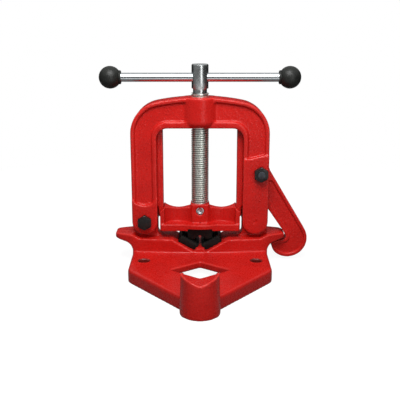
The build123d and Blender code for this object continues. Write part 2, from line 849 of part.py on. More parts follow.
# Bolts and nuts: the hinge bolt enters from the front, the latch bolt from the rear
for name, x, z, front in (("hinge", -leg_centre_x, pivot_z, 1), ("latch", latch_x, latch_z, -1)):
    head_plane = Plane(
        origin=(x, -front * foot_half_depth, z), x_dir=(0, 0, 1), z_dir=(0, -front, 0)
    )
    nut_plane = Plane(origin=(x, front * foot_half_depth, z), x_dir=(0, 0, 1), z_dir=(0, front, 0))
    with BuildPart() as bolt:
        add(hex_piece(head_plane, bolt_head_height))
        with BuildSketch(head_plane):
            Circle(bolt_radius)
        extrude(amount=-(2 * foot_half_depth + nut_height + bolt_end_length))
        bolt_end = bolt.faces().sort_by(Axis.Y)[-1 if front > 0 else 0]
        chamfer(bolt_end.edges(), length=bolt_end_length / 2)
    save(bolt.part, f"{name}_bolt")
    save(hex_piece(nut_plane, nut_height, bolt_radius + shaft_slip), f"{name}_nut")

# Latch hook: eye, straight shank and the hook that reaches under the right horn
lean = radians(latch_angle)
latch_inner_offset = latch_outer_offset - latch_shank_width


def latch_point(down, out):
    """Place in the XZ plane, measured down the shank and out from the bolt's axis."""
    x = latch_x + down * sin(lean) + out * cos(lean)
    z = latch_z - down * cos(lean) + out * sin(lean)
    return (x, z)


def hook_ledge_z(x):
    """Height of the hook's ledge, which follows the underside of the horn."""
    return horn_tip_low_z + (x - horn_tip_x) * horn_slope - hook_gap


throat_drop = latch_z + latch_inner_offset * sin(lean)
throat_drop -= hook_ledge_z(latch_x + latch_inner_offset * cos(lean))
throat_down = throat_drop / (cos(lean) + horn_slope * sin(lean))
throat = latch_point(throat_down, latch_inner_offset)
hook_centre = latch_point(throat_down, latch_outer_offset - hook_radius)
hook_tip_x = hook_centre[0] - hook_tip_reach
hook_tip = (hook_tip_x, hook_ledge_z(hook_tip_x))


def on_hook(angle):
    """Point of the hook's round back at an angle from the +X direction."""
    return (hook_centre[0] + hook_radius * cos(angle), hook_centre[1] + hook_radius * sin(angle))


wrap = -radians(hook_wrap_angle)
with BuildSketch() as hook_outline:
    with BuildLine():
        Line(latch_point(0, latch_outer_offset), latch_point(throat_down, latch_outer_offset))
        ThreePointArc(on_hook(lean), on_hook((lean + wrap) / 2), on_hook(wrap))
        TangentArc(on_hook(wrap), hook_tip, tangent=(sin(wrap), -cos(wrap)))
        Polyline(
            hook_tip,
            throat,
            latch_point(0, latch_inner_offset),
            latch_point(0, latch_outer_offset),
        )
    make_face()
    fillet(vertices().sort_by_distance(hook_tip)[0], radius=hook_tip_round)
    fillet(vertices().sort_by_distance(throat)[0], radius=hook_throat_round)

# The sunk panel runs down the shank and round the curl, inside an even rim
with BuildSketch() as latch_panel:
    offset(hook_outline.sketch, amount=-latch_panel_rim)
    with Locations((latch_x, latch_z)):
        Circle(latch_eye_radius + latch_panel_rim, mode=Mode.SUBTRACT)
    shank_top = vertices().group_by(Axis.Y)[-1] + vertices().group_by(Axis.Y)[-2]
    fillet(shank_top, radius=latch_panel_corner_radius)

with BuildPart() as latch_hook:
    with BuildSketch(Plane.XZ):
        add(hook_outline.sketch)
        with Locations((latch_x, latch_z)):
            Circle(latch_eye_radius)
            Circle(bolt_radius + 2 * shaft_slip, mode=Mode.SUBTRACT)
    extrude(amount=latch_half_thickness, both=True)
    for front in (1, -1):
        with BuildSketch(Plane.XZ.offset(front * latch_half_thickness)):
            add(latch_panel.sketch)
        extrude(amount=-front * latch_panel_depth, mode=Mode.SUBTRACT)
save(latch_hook.part, "latch_hook")

# Spindle: neck in the slide, thread, relief and the round head with its cross hole
with BuildPart() as spindle:
    with BuildSketch(Plane.XZ):
        with BuildLine():
            Polyline(
                (0, neck_bottom_z),
                (neck_radius, neck_bottom_z),
                (neck_radius, groove_z - groove_width / 2),
                (groove_radius, groove_z - groove_width / 2),
                (groove_radius, groove_z + groove_width / 2),
                (neck_radius, groove_z + groove_width / 2),
                (neck_radius, shoulder_bottom_z),
                (spindle_radius - thread_end_chamfer, shoulder_bottom_z),
                (spindle_radius, shoulder_bottom_z + thread_end_chamfer),
                (spindle_radius, thread_top_z - thread_end_chamfer),
                (spindle_radius - thread_end_chamfer, thread_top_z),
                (relief_radius, thread_top_z),
                (relief_radius, head_bottom_z),
                (head_radius, head_bottom_z),
                (head_radius, head_top_z),
                (0, head_top_z),
                close=True,
            )
        make_face()
    revolve(axis=Axis.Z)
    chamfer(spindle.faces().sort_by(Axis.Z)[-1].edges(), length=head_chamfer)
    with BuildSketch(Plane.YZ):
        with Locations((0, bar_z)):
            Circle(bar_radius + shaft_slip)
    extrude(amount=head_radius + overrun, both=True, mode=Mode.SUBTRACT)
save(spindle.part, "spindle")

# T-bar and its two knobs
with BuildPart() as t_bar:
    with BuildSketch(Plane.YZ):
        with Locations((0, bar_z)):
            Circle(bar_radius)
    extrude(amount=bar_half_length, both=True)
save(t_bar.part, "t_bar")

for side, side_name in ((-1, "left"), (1, "right")):
    with BuildPart() as knob:
        with BuildSketch(Plane.XZ):
            with Locations((side * knob_x, bar_z)):
                Circle(knob_radius)
            with Locations((side * (knob_neck_x + knob_x) / 2, bar_z)):
                Rectangle(knob_x - knob_neck_x, 2 * knob_neck_radius)
            with Locations((0, bar_z)):
                Rectangle(
                    2 * knob_x + 2 * knob_radius,
                    knob_radius,
                    align=(Align.CENTER, Align.MAX),
                    mode=Mode.SUBTRACT,
                )
        revolve(axis=Axis((0, 0, bar_z), (1, 0, 0)))
        with BuildSketch(Plane.YZ):
            with Locations((0, bar_z)):
                Circle(bar_radius + knob_bore_play)
        extrude(amount=side * (bar_half_length + knob_bore_play), mode=Mode.SUBTRACT)
    save(knob.part, f"knob_{side_name}")
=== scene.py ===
"""Looks of a hinged yoke pipe vise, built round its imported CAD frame.

Lengths are in metres, +Z is up, the front of the vise faces -Y and the hinge is on the left.
"""

from __future__ import annotations

import logging
import math
from dataclasses import dataclass
from enum import Enum
from typing import Sequence

import bpy
from mathutils import Euler, Matrix, Vector


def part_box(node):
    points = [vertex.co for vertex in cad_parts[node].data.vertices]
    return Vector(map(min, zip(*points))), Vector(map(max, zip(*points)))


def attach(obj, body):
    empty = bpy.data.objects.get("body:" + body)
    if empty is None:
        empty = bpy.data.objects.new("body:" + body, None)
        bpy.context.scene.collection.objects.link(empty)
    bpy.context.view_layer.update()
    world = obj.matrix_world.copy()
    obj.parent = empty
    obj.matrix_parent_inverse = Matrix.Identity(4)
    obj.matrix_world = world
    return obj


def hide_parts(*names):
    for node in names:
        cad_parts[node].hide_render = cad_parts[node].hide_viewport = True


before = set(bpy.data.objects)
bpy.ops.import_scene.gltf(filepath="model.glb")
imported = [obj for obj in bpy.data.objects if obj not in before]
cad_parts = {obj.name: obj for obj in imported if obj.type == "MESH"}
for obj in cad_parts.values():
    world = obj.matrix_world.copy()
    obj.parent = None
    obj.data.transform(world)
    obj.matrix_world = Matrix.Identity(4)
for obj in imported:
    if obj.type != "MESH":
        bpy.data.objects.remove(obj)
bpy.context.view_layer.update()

LOG = logging.getLogger("pipe_vise")
MM = 0.001
Colour = tuple[float, float, float]
Point = tuple[float, float, float]
FlatPoint = tuple[float, float]
Span = tuple[float, float]

WHITE: Colour = (1.0, 1.0, 1.0)
UP: Point = (0.0, 0.0, 1.0)
SIDES = (-1.0, 1.0)

# Depth of a metric thread in pitches, and the shares of a pitch that its crest and root take.
THREAD_DEPTH = 0.6134
CREST_SHARE = 0.38
ROOT_SHARE = 0.12

# Ranges in which most values of a noise lie.
NOISE_SPAN: Span = (0.3, 0.7)
CLOUD_SPAN: Span = (0.35, 0.65)

# Points that lie closer are merged, and CAD faces that turn less, in degrees, are made one.
CAD_WELD = 0.002 * MM
WELD = 0.001 * MM
FLAT_ANGLE = 0.5


class Body(Enum):
    """Rigid bodies that pieces ride on."""

    BASE = "base"
    YOKE = "yoke"
    LATCH = "latch"
    CARRIER = "jaw_carrier"
    SPINDLE = "spindle"
    HANDLE = "handle"


class Slot(Enum):
    """Material slots of the record that the pieces follow."""

    ENAMEL = "red_enamel"
    JAW = "jaw_steel"
    BOLT = "bolt_steel"
    SPINDLE = "spindle_steel"
    KNOB = "knob_plastic"
    ZINC = "screw_zinc"


class Nodes:
    """A node tree, with short ways to add to it."""

    def __init__(self, tree: bpy.types.NodeTree) -> None:
        """Hold a tree.

        Args:
            tree: The node tree of a material or of the world.
        """
        self.tree = tree

    def add(self, kind: str, **inputs: object) -> bpy.types.Node:
        """Add a node and set or link its inputs.

        Args:
            kind: The node's type, without its ShaderNode prefix.
            inputs: Values or output sockets, by input name with underscores for spaces.

        Returns:
            The new node.
        """
        node = self.tree.nodes.new("ShaderNode" + kind)
        for name, value in inputs.items():
            socket = node.inputs[name.replace("_", " ")]
            if isinstance(value, bpy.types.NodeSocket):
                self.tree.links.new(value, socket)
            else:
                socket.default_value = value
        return node

    def ramp(
        self, value: bpy.types.NodeSocket, span: Span, result: Span = (0.0, 1.0)
    ) -> bpy.types.NodeSocket:
        """Map a value from one range to another.

        Args:
            value: What to map.
            span: Values that give the first and the second number of the result.
            result: What these two values give.

        Returns:
            The mapped value.
        """
        node = self.add("MapRange", Value=value)
        names = ("From Min", "From Max", "To Min", "To Max")
        for name, number in zip(names, (*span, *result)):
            node.inputs[name].default_value = number
        return node.outputs["Result"]

    def work(
        self, operation: str, first: bpy.types.NodeSocket, second: bpy.types.NodeSocket | float
    ) -> bpy.types.NodeSocket:
        """Work out a number from two others.

        Args:
            operation: Name of the Math node's operation.
            first: The first number.
            second: The second number, a socket or a plain value.

        Returns:
            The result.
        """
        node = self.add("Math")
        node.operation = operation
        self.tree.links.new(first, node.inputs[0])
        if isinstance(second, bpy.types.NodeSocket):
            self.tree.links.new(second, node.inputs[1])
        else:
            node.inputs[1].default_value = second
        return node.outputs["Value"]

    def length(self, place: bpy.types.NodeSocket) -> bpy.types.NodeSocket:
        """Measure how far some coordinates lie from their origin.

        Args:
            place: The coordinates.

        Returns:
            Their distance from the origin.
        """
        node = self.add("VectorMath", Vector=place)
        node.operation = "LENGTH"
        return node.outputs["Value"]


class Shader(Nodes):
    """Node tree of one material, with its main shader at hand."""

    def __init__(self, name: str) -> None:
        """Start a material.

        Args:
            name: The material's name.
        """
        self.material = bpy.data.materials.new(name)
        self.material.use_nodes = True
        super().__init__(self.material.node_tree)
        self.main = self.tree.nodes["Principled BSDF"]
        self.place = self.add("TexCoord").outputs["Object"]

    def set(self, **values: object) -> None:
        """Set sockets of the main shader, with underscores for spaces in their names."""
        for name, value in values.items():
            self.main.inputs[name.replace("_", " ")].default_value = value

    def link(self, output: bpy.types.NodeSocket, name: str) -> None:
        """Link an output to a socket of the main shader."""
        self.tree.links.new(output, self.main.inputs[name])

    def stretched(self, scale: Point) -> bpy.types.NodeSocket:
        """Object coordinates drawn out by a scale along each axis."""
        return self.add("Mapping", Vector=self.place, Scale=scale).outputs["Vector"]

    def noise(
        self, grain: float, detail: float = 2.0, place: bpy.types.NodeSocket | None = None
    ) -> bpy.types.NodeSocket:
        """Noise on the object's own coordinates.

        Args:
            grain: Size of its features in metres.
            detail: Number of finer octaves.
            place: Coordinates, where they aren't the plain object's.

        Returns:
            The noise value, from 0 to 1.
        """
        node = self.add("TexNoise", Vector=place or self.place, Scale=1.0 / grain, Detail=detail)
        return node.outputs["Fac"]

    def blend(
        self, share: bpy.types.NodeSocket, first: Colour | bpy.types.NodeSocket, second: Colour
    ) -> bpy.types.NodeSocket:
        """Mix two colours.

        Args:
            share: Share of the second colour, from 0 to 1.
            first: The first colour, a socket or a plain value.
            second: The second colour.

        Returns:
            The mixed colour.
        """
        node = self.add("Mix")
        node.data_type = "RGBA"
        # The colours' sockets come after the ones for numbers and vectors.
        first_input, second_input, colour = node.inputs[6], node.inputs[7], node.outputs[2]
        self.tree.links.new(share, node.inputs[0])
        if isinstance(first, bpy.types.NodeSocket):
            self.tree.links.new(first, first_input)
        else:
            first_input.default_value = (*first, 1.0)
        second_input.default_value = (*second, 1.0)
        return colour

    def bump(
        self,
        height: bpy.types.NodeSocket,
        depth: float,
        strength: float,
        under: bpy.types.NodeSocket | None = None,
    ) -> bpy.types.NodeSocket:
        """Bump from a height.

        Args:
            height: Height from 0 to 1.
            depth: Depth in metres that a height of 1 stands for.
            strength: How much of the bump shows.
            under: Normal of a coarser bump below this one.

        Returns:
            The bumped normal.
        """
        node = self.add("Bump", Height=height, Distance=depth, Strength=strength)
        if under is not None:
            self.tree.links.new(under, node.inputs["Normal"])
        return node.outputs["Normal"]


@dataclass(frozen=True)
class Enamel:
    """Glossy enamel on a sand casting: sand grains, a finer peel, specks, and edges paler from
    thinner enamel and a painted highlight.
    """

    colour: Colour = (0.56, 0.0118, 0.0086)
    deep_colour: Colour = (0.49, 0.0092, 0.0070)
    tone_grain: float = 24.0 * MM
    peel_grain: float = 1.6 * MM
    peel_detail: float = 3.0
    peel_depth: float = 0.20 * MM
    peel_strength: float = 0.6
    sand_grain: float = 3.0 * MM
    sand_depth: float = 0.80 * MM
    sand_strength: float = 0.45
    speck_grain: float = 2.6 * MM
    speck_detail: float = 0.0
    speck_span: Span = (0.66, 0.82)
    speck_depth: float = 0.34 * MM
    speck_strength: float = 0.6
    # Convex edges are mixed towards this paler red: painted highlight, partly thinner enamel.
    edge_highlight_colour: Colour = (0.80, 0.085, 0.070)
    edge_highlight_span: Span = (0.515, 0.565)
    edge_highlight_share: float = 0.45
    roughness: Span = (0.22, 0.34)
    gloss: float = 0.26

    def material(self, name: str) -> bpy.types.Material:
        """Build the material.

        Args:
            name: The material's name.

        Returns:
            The material.
        """
        shader = Shader(name)
        peel = shader.noise(self.peel_grain, self.peel_detail)
        sand = shader.noise(self.sand_grain)
        speck = shader.ramp(shader.noise(self.speck_grain, self.speck_detail), self.speck_span)
        tone = shader.ramp(shader.noise(self.tone_grain), NOISE_SPAN)
        body = shader.blend(tone, self.colour, self.deep_colour)
        # Painted highlight, partly thinner enamel: pointy convex edges are mixed towards the paler
        # edge colour.
        pointiness = shader.add("NewGeometry").outputs["Pointiness"]
        edges = shader.ramp(pointiness, self.edge_highlight_span, (0.0, self.edge_highlight_share))
        shader.link(shader.blend(edges, body, self.edge_highlight_colour), "Base Color")
        shader.link(shader.ramp(peel, NOISE_SPAN, self.roughness), "Roughness")
        coarse = shader.bump(sand, self.sand_depth, self.sand_strength)
        fine = shader.bump(peel, self.peel_depth, self.peel_strength, coarse)
        shader.link(shader.bump(speck, self.speck_depth, self.speck_strength, fine), "Normal")
        shader.set(Specular_IOR_Level=self.gloss)
        return shader.material


@dataclass(frozen=True)
class Metal:
    """Bare or treated metal with fine marks along the tool's path.

    Where it has a crest radius, its colour darkens from there to the root radius, which paints
    shade into the roots of a thread. The sheen holds the least and the greatest roughness, as
    shares of the plain one.
    """

    colour: Colour
    dark_colour: Colour
    roughness: float
    lay: Point = (1.0, 1.0, 1.0)
    grain: float = 0.6 * MM
    grain_detail: float = 3.0
    cloud_grains: float = 10.0
    depth: float = 0.02 * MM
    strength: float = 0.6
    sheen: Span = (0.8, 1.25)
    metallic: float = 1.0
    gloss: float = 0.5
    root_radius: float = 0.0
    crest_radius: float = 0.0

    def material(self, name: str) -> bpy.types.Material:
        """Build the material.

        Args:
            name: The material's name.

        Returns:
            The material.
        """
        shader = Shader(name)
        marks = shader.noise(self.grain, self.grain_detail, shader.stretched(self.lay))
        tone = shader.ramp(shader.noise(self.cloud_grains * self.grain), CLOUD_SPAN)
        # Painted shade: the thread's colour darkens from its crests into its roots.
        if self.crest_radius:
            radius = shader.length(shader.stretched((1.0, 1.0, 0.0)))
            tone = shader.ramp(radius, (self.crest_radius, self.root_radius))
        shader.link(shader.blend(tone, self.colour, self.dark_colour), "Base Color")
        least, most = (share * self.roughness for share in self.sheen)
        shader.link(shader.ramp(marks, NOISE_SPAN, (least, most)), "Roughness")
        shader.link(shader.bump(marks, self.depth, self.strength), "Normal")
        shader.set(Metallic=self.metallic, Specular_IOR_Level=self.gloss)
        return shader.material


@dataclass(frozen=True)
class Plastic:
    """Moulded black plastic with a soft gloss, its sheen as that of a metal."""

    colour: Colour = (0.009, 0.010, 0.009)
    worn_colour: Colour = (0.014, 0.015, 0.013)
    roughness: float = 0.42
    grain: float = 1.6 * MM
    grain_detail: float = 4.0
    depth: float = 0.05 * MM
    strength: float = 0.35
    sheen: Span = (0.85, 1.25)
    gloss: float = 0.3

    def material(self, name: str) -> bpy.types.Material:
        """Build the material.

        Args:
            name: The material's name.

        Returns:
            The material.
        """
        shader = Shader(name)
        marks = shader.noise(self.grain, self.grain_detail)
        tone = shader.ramp(marks, CLOUD_SPAN)
        shader.link(shader.blend(tone, self.colour, self.worn_colour), "Base Color")
        least, most = (share * self.roughness for share in self.sheen)
        shader.link(shader.ramp(marks, NOISE_SPAN, (least, most)), "Roughness")
        shader.link(shader.bump(marks, self.depth, self.strength), "Normal")
        shader.set(Specular_IOR_Level=self.gloss)
        return shader.material


BLACK_OXIDE = Metal(
    (0.010, 0.009, 0.009), (0.016, 0.015, 0.014), 0.36, metallic=0.2, gloss=0.35, depth=0.05 * MM
)
BOLT_END = Metal((0.070, 0.078, 0.090), (0.045, 0.050, 0.058), 0.34, metallic=0.7)
JAW_BLACK = Metal(
    (0.005, 0.005, 0.005), (0.009, 0.009, 0.008), 0.5, metallic=0.0, gloss=0.15, depth=0.08 * MM
)
TURNED_STEEL = Metal(
    (0.50, 0.52, 0.52), (0.40, 0.42, 0.42), 0.23, lay=(0.15, 0.15, 2.5), depth=0.12 * MM
)
# Light crests and dark roots: painted shade in the thread.
THREAD_STEEL = Metal(
    (0.90, 0.93, 0.88),
    (0.40, 0.42, 0.39),
    0.36,
    depth=0.04 * MM,
    root_radius=10.6 * MM,
    crest_radius=11.2 * MM,
)
PLATED_BAR = Metal(
    (0.60, 0.64, 0.66), (0.54, 0.57, 0.58), 0.19, lay=(0.05, 1.0, 1.0), depth=0.001 * MM
)
ZINC = Metal((0.55, 0.56, 0.58), (0.44, 0.45, 0.47), 0.3)


def deselect() -> None:
    """Deselect every object."""
    bpy.ops.object.select_all(action="DESELECT")


def activate(piece: bpy.types.Object) -> None:
    """Select one object alone and make it active.

    Args:
        piece: The object.
    """
    deselect()
    piece.select_set(True)
    bpy.context.view_layer.objects.active = piece


def edit(piece: bpy.types.Object, mode: str = "FACE", whole: bool = False) -> None:
    """Enter edit mode on one object.

    Args:
        piece: The object.
        mode: What is selected: VERT, EDGE or FACE.
        whole: Whether all of the mesh is selected, or nothing.
    """
    activate(piece)
    bpy.ops.object.mode_set(mode="EDIT")
    bpy.ops.mesh.select_mode(type=mode)
    bpy.ops.mesh.select_all(action="SELECT" if whole else "DESELECT")


def leave() -> None:
    """Return to object mode."""
    bpy.ops.object.mode_set(mode="OBJECT")


def apply_place(piece: bpy.types.Object) -> None:
    """Move the piece's place into its mesh."""
    activate(piece)
    bpy.ops.object.transform_apply(location=True, rotation=True, scale=True)


def shade(piece: bpy.types.Object, angle: float = 30.0) -> None:
    """Shade edges smooth that turn less than an angle in degrees."""
    activate(piece)
    bpy.ops.object.shade_smooth_by_angle(angle=math.radians(angle))


def modify(piece: bpy.types.Object, kind: str, **settings: object) -> None:
    """Add one modifier and apply it.

    Args:
        piece: The object.
        kind: The modifier's type.
        settings: Its properties.
    """
    modifier = piece.modifiers.new(kind.lower(), kind)
    for name, value in settings.items():
        setattr(modifier, name, value)
    activate(piece)
    bpy.ops.object.modifier_apply(modifier=modifier.name)


def bevel(piece: bpy.types.Object, width: float, segments: int = 2, angle: float = 28.0) -> None:
    """Round the edges of a piece.

    Args:
        piece: The object.
        width: Width of the bevel.
        segments: Faces across it.
        angle: Edges that turn more than this, in degrees, are rounded.
    """
    modify(
        piece,
        "BEVEL",
        width=width,
        segments=segments,
        limit_method="ANGLE",
        angle_limit=math.radians(angle),
        miter_outer="MITER_ARC",
    )


def carve(
    piece: bpy.types.Object,
    tool: bpy.types.Object,
    operation: str = "DIFFERENCE",
    **settings: object,
) -> None:
    """Take a tool's shape out of a piece, or all that lies outside it, and drop the tool.

    Args:
        piece: The object.
        tool: The tool, which is removed afterwards.
        operation: DIFFERENCE, or INTERSECT to keep only what lies inside the tool.
        settings: Further properties of the boolean.
    """
    modify(piece, "BOOLEAN", operation=operation, object=tool, solver="EXACT", **settings)
    bpy.data.objects.remove(tool)


def cut(piece: bpy.types.Object, place: Point, normal: Point, outer: bool) -> None:
    """Cut a piece by a plane, drop one side and close the cut.

    Args:
        piece: The object.
        place: A point of the plane.
        normal: The plane's normal.
        outer: Whether the side that the normal points to is dropped, or the other one.
    """
    edit(piece, whole=True)
    bpy.ops.mesh.bisect(
        plane_co=place, plane_no=normal, use_fill=True, clear_inner=not outer, clear_outer=outer
    )
    leave()


def tidy_normals(piece: bpy.types.Object) -> None:
    """Merge doubles and turn all faces outwards.

    Args:
        piece: The object.
    """
    edit(piece, "VERT", whole=True)
    bpy.ops.mesh.remove_doubles(threshold=WELD)
    bpy.ops.mesh.normals_make_consistent(inside=False)
    leave()


def merged_copy(node: str, name: str) -> bpy.types.Object:
    """Copy a CAD node's mesh and merge its loose triangles into clean faces.

    Args:
        node: The CAD node.
        name: Name of the copy.

    Returns:
        The copy, which rides on nothing yet.
    """
    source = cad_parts[node]
    piece = bpy.data.objects.new(name, source.data.copy())
    bpy.context.scene.collection.objects.link(piece)
    piece.data.materials.clear()
    edit(piece, "VERT", whole=True)
    bpy.ops.mesh.remove_doubles(threshold=CAD_WELD)
    bpy.ops.mesh.dissolve_limited(angle_limit=math.radians(FLAT_ANGLE))
    leave()
    return piece


def drawn_line(name: str, points: Sequence[Point]) -> bpy.types.Object:
    """Draw a line of edges, each point extruded from the last.

    Args:
        name: Name of the object.
        points: Places of the points.

    Returns:
        An object at the origin that holds the line alone.
    """
    deselect()
    bpy.ops.mesh.primitive_plane_add(size=MM, location=points[0])
    piece = bpy.context.active_object
    piece.name = name
    apply_place(piece)
    edit(piece, "VERT", whole=True)
    bpy.ops.mesh.merge(type="CENTER")
    for last, point in zip(points, points[1:]):
        step = Vector(point) - Vector(last)
        bpy.ops.mesh.extrude_region_move(TRANSFORM_OT_translate={"value": step})
    leave()
    return piece


def prism(name: str, outline: Sequence[Point], step: Point) -> bpy.types.Object:
    """Model a prism: an outline closed into a face and extruded.

    Args:
        name: Name of the object.
        outline: Corners of its face, in order.
        step: The extrusion's reach.

    Returns:
        The closed prism.
    """
    piece = drawn_line(name, outline)
    edit(piece, "VERT", whole=True)
    bpy.ops.mesh.edge_face_add()
    bpy.ops.mesh.extrude_region_move(TRANSFORM_OT_translate={"value": step})
    leave()
    tidy_normals(piece)
    return piece


def turned(name: str, profile: Sequence[FlatPoint], steps: int = 64) -> bpy.types.Object:
    """Turn a profile about the Z axis into a closed solid.

    Args:
        name: Name of the object.
        profile: Radius and height of each point, from axis to axis, or round a ring and back.
        steps: Faces round the axis.

    Returns:
        The solid, on the Z axis.
    """
    piece = drawn_line(name, [(radius, 0.0, height) for radius, height in profile])
    modify(
        piece,
        "SCREW",
        angle=math.tau,
        steps=steps,
        render_steps=steps,
        use_merge_vertices=True,
        merge_threshold=WELD,
    )
    tidy_normals(piece)
    return piece


def rod(name: str, radius: float, low: float, high: float) -> bpy.types.Object:
    """Turn a plain rod about the Z axis, from one height to another."""
    return turned(name, [(0.0, low), (radius, low), (radius, high), (0.0, high)])


def ring(name: str, inner: float, outer: float, low: float, high: float) -> bpy.types.Object:
    """Turn a ring about the Z axis, between two radii and two heights."""
    corners = [(inner, low), (outer, low), (outer, high), (inner, high), (inner, low)]
    return turned(name, corners)


def thread(
    name: str, radius: float, pitch: float, low: float, high: float, steps: int
) -> bpy.types.Object:
    """Model a right-hand metric thread about the Z axis.

    Args:
        name: Name of the object.
        radius: Radius over the crests.
        pitch: Height of a turn.
        low: Height of its lower end.
        high: Height of its upper end.
        steps: Faces in a turn.

    Returns:
        The threaded rod, closed at both ends.
    """
    root = radius - THREAD_DEPTH * pitch
    flank_share = (1 - CREST_SHARE - ROOT_SHARE) / 2
    shares = (0.0, flank_share, flank_share + CREST_SHARE, 1 - ROOT_SHARE, 1.0)
    radii = (root, radius, radius, root, root)
    # Two turns more below and one above are drawn and cut off square.
    spare_turns = 2
    start = low - spare_turns * pitch
    profile = [(reach, 0.0, start + share * pitch) for reach, share in zip(radii, shares)]
    piece = drawn_line(name, profile)
    modify(
        piece,
        "SCREW",
        angle=math.tau,
        screw_offset=pitch,
        iterations=math.ceil((high - low) / pitch) + spare_turns + 1,
        steps=steps,
        render_steps=steps,
        use_merge_vertices=True,
        merge_threshold=WELD,
    )
    tidy_normals(piece)
    cut(piece, (0.0, 0.0, low), UP, outer=False)
    cut(piece, (0.0, 0.0, high), UP, outer=True)
    tidy_normals(piece)
    return piece


def joined(pieces: Sequence[bpy.types.Object]) -> bpy.types.Object:
    """Join pieces into the first one.

    Args:
        pieces: The pieces to join.

    Returns:
        The first piece, which then holds them all.
    """
    activate(pieces[0])
    for piece in pieces:
        piece.select_set(True)
    bpy.ops.object.join()
    return pieces[0]


def moved(piece: bpy.types.Object, place: Matrix) -> bpy.types.Object:
    """Move a piece by a matrix and keep its object at the origin.

    Args:
        piece: The object.
        place: The matrix.

    Returns:
        The same object.
    """
    piece.matrix_world = place
    apply_place(piece)
    return piece


def repaint(node: str, material: bpy.types.Material) -> None:
    """Give a CAD node that stays as it is a material of its own.

    Args:
        node: The CAD node.
        material: Its new material.
    """
    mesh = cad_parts[node].data
    mesh.materials.clear()
    mesh.materials.append(material)


def settle(
    piece: bpy.types.Object,
    body: Body,
    material: bpy.types.Material,
    replaced: Sequence[str] = (),
) -> None:
    """Dress a finished piece and hang it on its body.

    Args:
        piece: The object.
        body: The body that it rides on.
        material: Its material, unless it has materials already.
        replaced: CAD nodes that it stands for.
    """
    if not piece.data.materials:
        piece.data.materials.append(material)
    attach(piece, body.value)
    if replaced:
        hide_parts(*replaced)
    LOG.info("%s: %d faces on %s", piece.name, len(piece.data.polygons), body.value)


